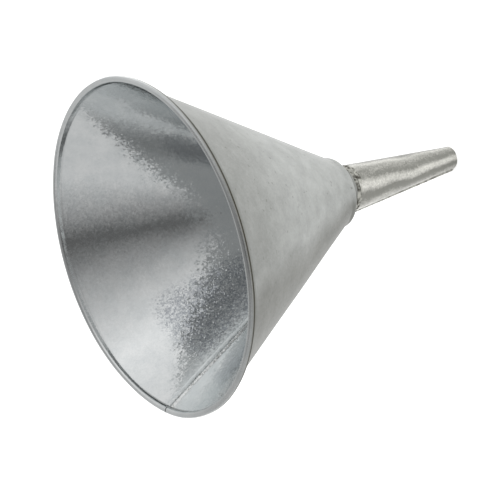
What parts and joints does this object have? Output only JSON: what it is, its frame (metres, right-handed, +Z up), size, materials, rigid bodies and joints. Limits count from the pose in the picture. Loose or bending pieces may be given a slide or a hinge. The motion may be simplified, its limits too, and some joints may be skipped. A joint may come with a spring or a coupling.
{
  "type": "funnel",
  "caption": "Galvanised sheet-steel filling funnel with a wired rim, a conical bowl with an inside lock seam, and a tapered soldered spout.",
  "frame": {"origin": "on the axis, in the plane of the underside of the cone's shoulder, where the neck of a container holds the funnel", "axes": "+Z up the axis to the mouth, the spout points down -Z, the lock seam and the spout's lap seam lie on the -X side"},
  "size_m": [0.2, 0.2, 0.2309],
  "materials": {
    "galvanised_sheet": "hot-dip galvanised sheet steel: satin, finely spangled and mottled light grey, glossier and bluish inside",
    "galvanised_spout": "galvanised sheet steel, brighter and blotched by the soldering",
    "rim_wire": "plain drawn steel wire, dull grey",
    "solder": "soft solder, silvery and lumpy, with dark flux in its pits"
  },
  "bodies": {
    "root": {"cone_body": "galvanised_sheet", "rim_wire": "rim_wire", "spout": "galvanised_spout", "neck_solder": "solder", "seam_solder": "solder", "spout_seam_solder": "solder"}
  },
  "joints": []
}
